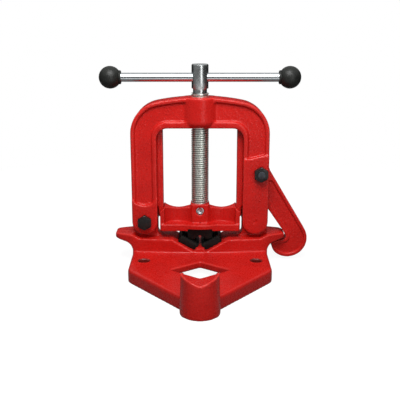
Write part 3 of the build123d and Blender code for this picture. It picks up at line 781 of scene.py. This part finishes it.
@dataclass
class Castings:
    """The four red castings, with the soft edges and corners that a sand mould leaves.

    The outline of the flare gives, in millimetres, each corner's distance down the shank from
    its bolt and aside from the line through the bolt.
    """

    finish: Enamel = Enamel()
    coarse_voxel: float = 1.15 * MM
    medium_voxel: float = 1.12 * MM
    fine_voxel: float = 0.62 * MM
    smoothing: float = 0.5
    passes: int = 9
    fine_passes: int = 12
    crease_angle: float = 38.0
    slack: float = 0.2 * MM
    plate_top: float = 18.0 * MM
    rest_radius: float = 24.0 * MM
    rest_top: float = 49.0 * MM
    rest_top_radius: float = 22.4 * MM
    rest_hollow_radius: float = 18.8 * MM
    rest_back: float = 5.0 * MM
    notch_depth: float = 7.8 * MM
    notch_half_width: float = 20.5 * MM
    horn_end: float = 117.5 * MM
    horn_more: float = 1.2 * MM
    horn_drop: float = 2.0 * MM
    horn_top: float = 42.5 * MM
    horn_thickness: float = 8.0 * MM
    horn_half_depth: float = 14.0 * MM
    horn_corner: float = 3.0 * MM
    hole_x: float = 75.5 * MM
    hole_y: float = -59.0 * MM
    hole_radius: float = 7.2 * MM
    hole_sink: float = 1.7 * MM
    hole_steps: int = 48
    # Dark enamel for the walls of the mounting holes: painted shade.
    hole_shade_finish: Enamel = Enamel((0.16, 0.010, 0.008), (0.05, 0.008, 0.007), edge_highlight_share=0.2)
    latch_lean: float = 31.1
    flare_outline: tuple[FlatPoint, ...] = (
        (30.0, -14.5),
        (50.0, -17.0),
        (88.0, -14.6),
        (88.0, -12.0),
        (30.0, -12.0),
    )
    flange_height: float = 9.5 * MM
    cheek_thickness: float = 5.9 * MM
    pocket_radius: float = 25.0 * MM
    pocket_x: float = 30.5 * MM
    pocket_y: float = 29.0 * MM
    saddle_drop: float = 6.4 * MM
    saddle_rise: float = 0.8 * MM
    collar_radius: float = 13.4 * MM
    collar_bore: float = 9.0 * MM
    collar_ring: float = 6.5 * MM

    def build(self) -> None:
        """Refine, soften and dress each casting."""
        material = self.finish.material("red_enamel")
        for node, body, voxel, passes in (
            ("base_casting", Body.BASE, self.coarse_voxel, self.passes),
            ("yoke_casting", Body.YOKE, self.medium_voxel, self.passes),
            ("latch_hook", Body.LATCH, self.fine_voxel, self.fine_passes),
            ("jaw_slide", Body.CARRIER, self.fine_voxel, self.fine_passes),
        ):
            piece = merged_copy(node, f"{node}_cast")
            if body is Body.BASE:
                tips = [self.horn_tip(side) for side in SIDES]
                piece = joined((self.refine_rest(piece), *tips))
            elif body is Body.LATCH:
                piece = joined((piece, self.shank_flare()))
            elif body is Body.CARRIER:
                piece = self.refine_slide(piece)
            modify(piece, "REMESH", mode="VOXEL", voxel_size=voxel, use_smooth_shade=True)
            modify(piece, "SMOOTH", factor=self.smoothing, iterations=passes)
            piece.data.materials.clear()
            piece.data.materials.append(material)
            if body is Body.BASE:
                self.drill(piece)
            settle(piece, body, material, (node,))

    def refine_rest(self, base: bpy.types.Object) -> bpy.types.Object:
        """Thin the wall of the pipe rest, raise its sides and cut the V in its top again.

        Args:
            base: Copy of the base casting.

        Returns:
            The base with the raised sides joined on.
        """
        middle_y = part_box("base_casting")[0][1] + self.rest_radius
        middle = Matrix.Translation((0.0, middle_y, 0.0))
        low, high = self.plate_top + self.slack, self.rest_top + self.rest_radius
        carve(base, moved(rod("rest_hollow", self.rest_hollow_radius, low, high), middle))
        foot = self.rest_top - 2 * self.notch_depth
        inner, outer = self.rest_hollow_radius, self.rest_top_radius
        sides = moved(ring("rest_sides", inner, outer, foot, self.rest_top), middle)
        cut(sides, (0.0, middle_y + self.rest_back, 0.0), (0.0, 1.0, 0.0), outer=True)
        for piece in (base, sides):
            carve(piece, self.notch(middle_y))
        return joined((base, sides))

    def notch(self, middle_y: float) -> bpy.types.Object:
        """Model the tool that cuts the V across the pipe rest.

        Args:
            middle_y: Where the middle of the rest lies.

        Returns:
            The tool.
        """
        front, reach = middle_y - 2 * self.rest_radius, self.notch_half_width
        top, low, above = self.rest_top, self.rest_top - self.notch_depth, 2 * self.rest_top
        plan = [(-reach, top), (0.0, low), (reach, top), (reach, above), (-reach, above)]
        outline = [(x, front, z) for x, z in plan]
        return prism("rest_notch", outline, (0.0, 4 * self.rest_radius, 0.0))

    def horn_tip(self, side: float) -> bpy.types.Object:
        """Model the square tip of one horn. The right one is lower, clear of the hook.

        Args:
            side: -1 for the left horn, 1 for the right one.

        Returns:
            The tip, which reaches into the horn.
        """
        half, edge = self.horn_half_depth, self.horn_half_depth - self.horn_corner
        start, end = self.horn_end - self.horn_half_depth, self.horn_end + self.horn_more
        inner = end - self.horn_corner
        plan = [(start, -half), (inner, -half), (end, -edge)]
        plan += [(end, edge), (inner, half), (start, half)]
        low = self.horn_top - self.horn_thickness + self.slack
        drop = self.horn_drop if side > 0 else self.slack
        outline = [(side * x, y, low) for x, y in plan]
        return prism("horn_tip", outline, (0.0, 0.0, self.horn_thickness - drop - self.slack))

    def drill(self, base: bpy.types.Object) -> None:
        """Drill and countersink the two mounting holes of the finished base, with painted shade on
        their walls.

        Args:
            base: The base casting.
        """
        radius, sink = self.hole_radius, self.hole_sink
        foot, top = self.plate_top - sink, self.plate_top + self.slack
        profile = [(0.0, -sink), (radius, -sink), (radius, foot), (radius + sink, top)]
        profile += [(radius + sink, top + sink), (0.0, top + sink)]
        # The holes' walls take a dark red: painted shade inside them.
        bare_end_and_hole_shade = self.hole_shade_finish.material("painted_hole_shade")
        for side in SIDES:
            middle = Matrix.Translation((side * self.hole_x, self.hole_y, 0.0))
            tool = moved(turned("drill", profile, self.hole_steps), middle)
            tool.data.materials.append(bare_end_and_hole_shade)
            carve(base, tool, material_mode="TRANSFER")
        shade(base, self.crease_angle)

    def shank_flare(self) -> bpy.types.Object:
        """Model the wedge on the inner edge of the latch's shank, which widens to its eye.

        Returns:
            The wedge.
        """
        low, high = (Vector(corner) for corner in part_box("latch_nut"))
        pivot, lean = (low + high) / 2, math.radians(self.latch_lean)
        down = Vector((math.sin(lean), 0.0, -math.cos(lean)))
        out = Vector((math.cos(lean), 0.0, math.sin(lean)))
        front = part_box("latch_hook")[0][1] + self.slack
        start = Vector((pivot.x, front, pivot.z))
        outline = [
            tuple(start + far * MM * down + aside * MM * out) for far, aside in self.flare_outline
        ]
        return prism("shank_flare", outline, (0.0, -2 * front, 0.0))

    def refine_slide(self, slide: bpy.types.Object) -> bpy.types.Object:
        """Widen the pockets of the jaw slide, lower its saddles and round its collar.

        Args:
            slide: Copy of the slide.

        Returns:
            The slide with its collar joined on.
        """
        (_, _, bottom), (end, _, top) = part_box("jaw_slide")
        flange = bottom + self.flange_height
        cheek = end - self.cheek_thickness
        saddle = top - self.saddle_drop
        for side in SIDES:
            for front in SIDES:
                place = (side * self.pocket_x, front * self.pocket_y, 0.0)
                pocket = rod("pocket", self.pocket_radius, flange, top + self.pocket_radius)
                moved(pocket, Matrix.Translation(place))
                cut(pocket, (side * cheek, 0.0, 0.0), (side, 0.0, 0.0), outer=True)
                carve(slide, pocket)
            near, far = side * self.collar_radius, side * self.pocket_x
            plan = [(near, saddle + self.saddle_rise), (far, saddle), (far, top + end)]
            plan += [(near, top + end)]
            outline = [(x, -end, z) for x, z in plan]
            carve(slide, prism("saddle", outline, (0.0, 2 * end, 0.0)))
        collar_low = top - self.collar_ring
        collar = ring("collar", self.collar_bore, self.collar_radius, collar_low, top)
        return joined((slide, collar))


@dataclass
class Spindle:
    """The screw: its neck, its thread and the turned head."""

    radius: float = 12.0 * MM
    pitch: float = 3.0 * MM
    thread_length: float = 152.4 * MM
    thread_steps: int = 48
    thread_crease: float = 35.0
    shoulder_play: float = 0.3 * MM
    overlap: float = 0.2 * MM
    edge: float = 0.35 * MM

    def build(self) -> None:
        """Model and dress the spindle."""
        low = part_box("jaw_slide")[1][2] + self.shoulder_play
        high = low + self.thread_length
        screw = thread("spindle_thread", self.radius, self.pitch, low, high, self.thread_steps)
        shade(screw, self.thread_crease)
        settle(screw, Body.SPINDLE, THREAD_STEEL.material("thread_steel"))
        head = merged_copy("spindle", "spindle_head")
        cut(head, (0.0, 0.0, high - self.overlap), UP, outer=False)
        neck = merged_copy("spindle", "spindle_neck")
        cut(neck, (0.0, 0.0, low + self.overlap), UP, outer=True)
        turned_steel = TURNED_STEEL.material("turned_steel")
        for piece, nodes in ((head, ("spindle",)), (neck, ())):
            bevel(piece, self.edge)
            shade(piece)
            settle(piece, Body.SPINDLE, turned_steel, nodes)


@dataclass
class Bolts:
    """The two M10 bolts and their nuts, with chamfered hexagons and real threads."""

    radius: float = 5.0 * MM
    pitch: float = 1.5 * MM
    flats: float = 18.0 * MM
    head_height: float = 6.4 * MM
    nut_height: float = 8.0 * MM
    end_length: float = 3.4 * MM
    end_steps: int = 40
    dome_steps: int = 4
    chamfer: float = 1.0 * MM
    edge: float = 0.3 * MM
    edge_angle: float = 20.0

    def build(self) -> None:
        """Model and dress the bolts and nuts."""
        black = BLACK_OXIDE.material("bolt_black")
        bare_end_and_hole_shade = BOLT_END.material("bolt_end")
        for name, front in (("hinge", 1.0), ("latch", -1.0)):
            low, high = (Vector(corner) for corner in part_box(f"{name}_nut"))
            middle = (low + high) / 2
            turn = Euler((math.pi / 2 * -front, 0.0, 0.0)).to_matrix().to_4x4()
            place = Matrix.Translation((middle.x, 0.0, middle.z)) @ turn
            face = high.y if front > 0 else -low.y
            bolt, end, nut = self.bolt(name, face), self.bolt_end(name, face), self.nut(name, face)
            settle(moved(bolt, place), Body.YOKE, black, (f"{name}_bolt",))
            settle(moved(end, place), Body.YOKE, bare_end_and_hole_shade)
            settle(moved(nut, place), Body.YOKE, black, (f"{name}_nut",))

    def bolt(self, name: str, face: float) -> bpy.types.Object:
        """Model a bolt's head and shank on the Z axis, its head seated as far out as its nut.

        Args:
            name: Name of the bolt.
            face: Height of the nut's outer face.

        Returns:
            The bolt without its threaded end.
        """
        seat = face - self.nut_height
        head = self.hexagon(f"{name}_bolt_head", -seat - self.head_height, -seat, lower=True)
        low, high = -seat - self.edge, face - self.nut_height / 2
        profile = [(0.0, low), (self.radius, low), (self.radius, high - self.pitch)]
        profile += [(self.root_radius(), high), (0.0, high)]
        shank = turned("shank", profile)
        shade(shank)
        return joined((head, shank))

    def bolt_end(self, name: str, face: float) -> bpy.types.Object:
        """Model a bolt's threaded end with its low dome.

        Args:
            name: Name of the bolt.
            face: Height of the nut's outer face.

        Returns:
            The end, which reaches through the nut.
        """
        low, high = face - self.nut_height, face + self.end_length
        end = thread(f"{name}_bolt_end", self.radius, self.pitch, low, high, self.end_steps)
        root, foot = self.root_radius(), high - self.edge
        profile = [(0.0, foot)]
        for step in range(self.dome_steps + 1):
            angle = step / self.dome_steps * math.pi / 2
            profile.append((root * math.cos(angle), foot + self.edge * math.sin(angle)))
        tip = turned("tip", profile)
        for piece in (end, tip):
            shade(piece)
        return joined((end, tip))

    def nut(self, name: str, face: float) -> bpy.types.Object:
        """Model a nut with its bore.

        Args:
            name: Name of its bolt.
            face: Height of its outer face.

        Returns:
            The nut.
        """
        nut = self.hexagon(f"{name}_nut_hex", face - self.nut_height, face, lower=False)
        low, high = face - 2 * self.nut_height, face + self.nut_height
        carve(nut, rod("bore", self.radius + self.edge / 4, low, high))
        shade(nut)
        return nut

    def hexagon(self, name: str, low: float, high: float, lower: bool) -> bpy.types.Object:
        """Model a hexagon on the Z axis whose corners are turned off at its ends.

        Args:
            name: Name of the object.
            low: Height of its lower face.
            high: Height of its upper face.
            lower: Whether its lower end is turned off too.

        Returns:
            The hexagon.
        """
        corner = self.flats / math.sqrt(3)
        deselect()
        bpy.ops.mesh.primitive_cylinder_add(
            vertices=6, radius=corner, depth=high - low, location=(0.0, 0.0, (low + high) / 2)
        )
        piece = bpy.context.active_object
        piece.name = name
        apply_place(piece)
        reach, rim = corner - self.chamfer, corner + self.chamfer / 2
        foot = [(reach, low), (rim, low + self.chamfer)] if lower else [(rim, low)]
        top = [(rim, high - self.chamfer), (reach, high)]
        carve(piece, turned("blank", [(0.0, low), *foot, *top, (0.0, high)]), "INTERSECT")
        tidy_normals(piece)
        bevel(piece, self.edge, angle=self.edge_angle)
        shade(piece)
        return piece

    def root_radius(self) -> float:
        """Radius at the root of the thread."""
        return self.radius - self.pitch * THREAD_DEPTH


@dataclass
class Jaws:
    """The toothed jaws, with their edges broken."""

    edge: float = 0.25 * MM
    slope: float = 30.0
    inner_reach: float = 1.4 * MM
    least_facing: float = 0.95

    def build(self) -> None:
        """Dress the jaws."""
        material = JAW_BLACK.material("jaw_black")
        for node, body, side in (
            ("lower_jaw_left", Body.BASE, -1.0),
            ("lower_jaw_right", Body.BASE, 1.0),
            ("upper_jaw", Body.CARRIER, None),
        ):
            piece = merged_copy(node, f"{node}_ground")
            if side is not None:
                self.lengthen(piece, side)
            bevel(piece, self.edge)
            shade(piece)
            settle(piece, body, material, (node,))

    def lengthen(self, jaw: bpy.types.Object, side: float) -> None:
        """Move the inner end of a lower jaw down along its slope.

        Args:
            jaw: The lower jaw.
            side: -1 for the left jaw, 1 for the right one.
        """
        slope = math.radians(self.slope)
        inward = Vector((-side * math.cos(slope), 0.0, -math.sin(slope)))
        # Entering and leaving edit mode like this deselects every face.
        edit(jaw)
        leave()
        for face in jaw.data.polygons:
            face.select = face.normal.dot(inward) > self.least_facing
        bpy.ops.object.mode_set(mode="EDIT")
        bpy.ops.transform.translate(value=inward * self.inner_reach)
        leave()


@dataclass
class HandleBar:
    """The plated bar and its two ball knobs."""

    ball_radius: float = 15.0 * MM
    ball_steps: int = 32
    neck_radius: float = 8.2 * MM
    bar_radius: float = 6.0 * MM
    collar_radius: float = 9.4 * MM
    collar_width: float = 3.0 * MM
    collar_steps: int = 6
    steps: int = 72
    crease_angle: float = 40.0

    def build(self) -> None:
        """Model and dress the knobs and the bar."""
        repaint("t_bar", PLATED_BAR.material("plated_bar"))
        material = Plastic().material("knob_black")
        for name, side in (("left", -1.0), ("right", 1.0)):
            low, high = (Vector(corner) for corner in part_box(f"knob_{name}"))
            piece = self.knob(f"knob_{name}_ball", high.x - low.x - self.ball_radius)
            centre_x = high.x - self.ball_radius if side > 0 else low.x + self.ball_radius
            turn = Euler((0.0, side * math.pi / 2, 0.0)).to_matrix().to_4x4()
            moved(piece, Matrix.Translation((centre_x, 0.0, (low.z + high.z) / 2)) @ turn)
            shade(piece, self.crease_angle)
            settle(piece, Body.HANDLE, material, (f"knob_{name}",))

    def knob(self, name: str, neck_reach: float) -> bpy.types.Object:
        """Turn one knob about the Z axis, with its ball's centre at the origin.

        Args:
            name: Name of the object.
            neck_reach: Distance from the ball's centre to the foot of its neck.

        Returns:
            The knob, with its neck towards -Z.
        """
        foot, shoulder = -neck_reach, self.collar_width - neck_reach
        points = [(0.0, shoulder), (self.bar_radius, shoulder), (self.bar_radius, foot)]
        bead = self.collar_width / 2
        centre = self.collar_radius - bead
        for step in range(self.collar_steps + 1):
            angle = -math.pi / 2 + step / self.collar_steps * math.pi
            points.append((centre + bead * math.cos(angle), foot + bead + bead * math.sin(angle)))
        start = math.asin(self.neck_radius / self.ball_radius)
        for step in range(self.ball_steps + 1):
            angle = start + step / self.ball_steps * (math.pi - start)
            points.append((self.ball_radius * math.sin(angle), -self.ball_radius * math.cos(angle)))
        return turned(name, points, self.steps)


@dataclass
class SmallScrews:
    """The spindle's retaining screw and the hidden jaw screws."""

    edge: float = 0.5 * MM
    edge_segments: int = 3

    def build(self) -> None:
        """Dress the screws."""
        screw = merged_copy("spindle_retaining_screw", "retaining_screw_turned")
        bevel(screw, self.edge, self.edge_segments)
        shade(screw)
        material = ZINC.material("screw_zinc")
        settle(screw, Body.CARRIER, material, ("spindle_retaining_screw",))
        black = BLACK_OXIDE.material("screw_black")
        for node in (
            "lower_jaw_screw_left",
            "lower_jaw_screw_right",
            "upper_jaw_screw_front",
            "upper_jaw_screw_rear",
        ):
            repaint(node, black)


@dataclass(frozen=True)
class Lamp:
    """A square lamp that looks at the vise, its power in watts."""

    name: str
    place: Point
    size: float
    power: float
    mirrored: bool = True
    target: Point = (0.0, 0.0, 0.12)

    def build(self) -> None:
        """Add the lamp."""
        data = bpy.data.lights.new(self.name, "AREA")
        data.size = self.size
        data.energy = self.power
        lamp = bpy.data.objects.new(self.name, data)
        lamp.location = self.place
        lamp.visible_glossy = self.mirrored
        aim = Vector(self.target) - Vector(self.place)
        lamp.rotation_euler = aim.to_track_quat("-Z", "Y").to_euler()
        bpy.context.scene.collection.objects.link(lamp)


@dataclass
class Studio:
    """Floor, soft lamps, the room that metal mirrors, and the camera at the photograph's angle.

    Each span of the room is the part of one axis of the direction over which a light changes.
    The floor's glow changes with the distance from its middle, and what metal mirrors of it
    changes along Y.
    """

    image_width: float = 400.0
    focal_px: float = 650.0
    sensor: float = 36.0
    camera_y: float = -0.885
    camera_z: float = 0.317
    pitch: float = 14.6
    lamps: tuple[Lamp, ...] = (
        Lamp("key", (-0.04, -0.42, 0.76), 0.45, 6.6),
        Lamp("fill", (0.60, -1.50, 0.80), 0.9, 6.6, mirrored=False),
        Lamp("rear", (-0.50, 1.30, 0.55), 0.9, 6.0, mirrored=False),
    )
    room_light: float = 0.15
    ceiling_span: Span = (0.30, 0.62)
    ceiling_light: float = 0.75
    table_span: Span = (-0.05, -0.16)
    table_light: float = 0.30
    front_span: Span = (-0.4, -0.75)
    backdrop_span: Span = (0.25, 0.8)
    backdrop_light: float = 0.04
    side_span: Span = (-0.8, 0.8)
    side_light: Span = (0.28, 0.08)
    side_fade: Span = (0.5, -0.1)
    stripe_rise: Span = (0.16, 0.34)
    stripe_fall: Span = (0.34, 0.52)
    stripe_light: float = 4.5
    floor_radius: float = 0.75
    floor_sides: int = 96
    floor_colour: Colour = (0.14, 0.14, 0.14)
    floor_roughness: float = 0.9
    floor_gloss: float = 0.05
    glow_span: Span = (0.30, 0.75)
    glow_light: Span = (0.93, 1.0)
    mirrored_span: Span = (-0.22, -0.50)
    mirrored_light: Span = (0.06, 0.95)

    def build(self) -> None:
        """Set up the camera, the lamps, the world and the floor."""
        bpy.context.scene.view_settings.view_transform = "Standard"
        self.add_camera()
        for lamp in self.lamps:
            lamp.build()
        self.add_world()
        self.add_floor()

    def add_camera(self) -> None:
        """Place the camera."""
        data = bpy.data.cameras.new("camera")
        data.sensor_width = self.sensor
        data.lens = self.sensor * self.focal_px / self.image_width
        camera = bpy.data.objects.new("camera", data)
        camera.location = (0.0, self.camera_y, self.camera_z)
        camera.rotation_euler = (math.radians(90 - self.pitch), 0.0, 0.0)
        bpy.context.scene.collection.objects.link(camera)
        bpy.context.scene.camera = camera

    def add_world(self) -> None:
        """Make a dim room that shines white to the camera, and as a studio in reflections."""
        world = bpy.data.worlds.new("studio")
        world.use_nodes = True
        nodes = Nodes(world.node_tree)
        path = nodes.add("LightPath")
        seen, glossy = path.outputs["Is Camera Ray"], path.outputs["Is Glossy Ray"]
        mirrored = nodes.work("MULTIPLY", glossy, self.mirrored_room(nodes))
        # This is -1 for rays that are neither the camera's nor glossy, and 0 for the others.
        neither = nodes.work("SUBTRACT", nodes.work("ADD", seen, glossy), 1.0)
        room = nodes.work("MULTIPLY", neither, -self.room_light)
        light = nodes.work("ADD", nodes.work("ADD", seen, mirrored), room)
        background = nodes.tree.nodes["Background"]
        background.inputs["Color"].default_value = (*WHITE, 1.0)
        nodes.tree.links.new(light, background.inputs["Strength"])
        bpy.context.scene.world = world

    def mirrored_room(self, nodes: Nodes) -> bpy.types.NodeSocket:
        """What metal mirrors: a bright ceiling and stripe, and a dimmer table, backdrop and sides.

        Args:
            nodes: The world's node tree.

        Returns:
            The brightness of each direction.
        """
        place = nodes.add("TexCoord").outputs["Generated"]
        axes = nodes.add("SeparateXYZ", Vector=place).outputs
        ceiling = nodes.ramp(axes["Z"], self.ceiling_span, (0.0, self.ceiling_light))
        table = nodes.ramp(axes["Z"], self.table_span, (0.0, self.table_light))
        front = nodes.ramp(axes["Y"], self.front_span)
        backdrop = nodes.ramp(axes["Y"], self.backdrop_span, (0.0, self.backdrop_light))
        side = nodes.ramp(axes["X"], self.side_span, self.side_light)
        side = nodes.work("MULTIPLY", side, nodes.ramp(axes["Y"], self.side_fade))
        rise = nodes.ramp(axes["X"], self.stripe_rise, (0.0, self.stripe_light))
        fall = nodes.ramp(axes["X"], self.stripe_fall, (1.0, 0.0))
        stripe = nodes.work("MULTIPLY", nodes.work("MULTIPLY", rise, fall), front)
        level = nodes.work("ADD", nodes.work("MULTIPLY", table, front), backdrop)
        level = nodes.work("ADD", level, stripe)
        return nodes.work("MAXIMUM", nodes.work("MAXIMUM", level, ceiling), side)

    def add_floor(self) -> None:
        """Lay a floor that shines white to the camera and keeps the vise's shadow."""
        deselect()
        bpy.ops.mesh.primitive_circle_add(
            vertices=self.floor_sides, radius=self.floor_radius, fill_type="NGON"
        )
        floor = bpy.context.active_object
        floor.name = "floor"
        shader = Shader("floor_white")
        shader.set(Base_Color=(*self.floor_colour, 1.0), Roughness=self.floor_roughness)
        shader.set(Specular_IOR_Level=self.floor_gloss, Emission_Color=(*WHITE, 1.0))
        path = shader.add("LightPath")
        glow = shader.ramp(shader.length(shader.place), self.glow_span, self.glow_light)
        seen = shader.work("MULTIPLY", path.outputs["Is Camera Ray"], glow)
        ahead = shader.add("SeparateXYZ", Vector=shader.place).outputs["Y"]
        level = shader.ramp(ahead, self.mirrored_span, self.mirrored_light)
        mirrored = shader.work("MULTIPLY", path.outputs["Is Glossy Ray"], level)
        shader.link(shader.work("ADD", seen, mirrored), "Emission Strength")
        floor.data.materials.append(shader.material)


def main() -> None:
    """Build the studio and dress the vise."""
    logging.basicConfig(level=logging.INFO, format="%(name)s %(message)s")
    Studio().build()
    Castings().build()
    Spindle().build()
    Bolts().build()
    Jaws().build()
    HandleBar().build()
    SmallScrews().build()


if __name__ == "__main__":
    main()
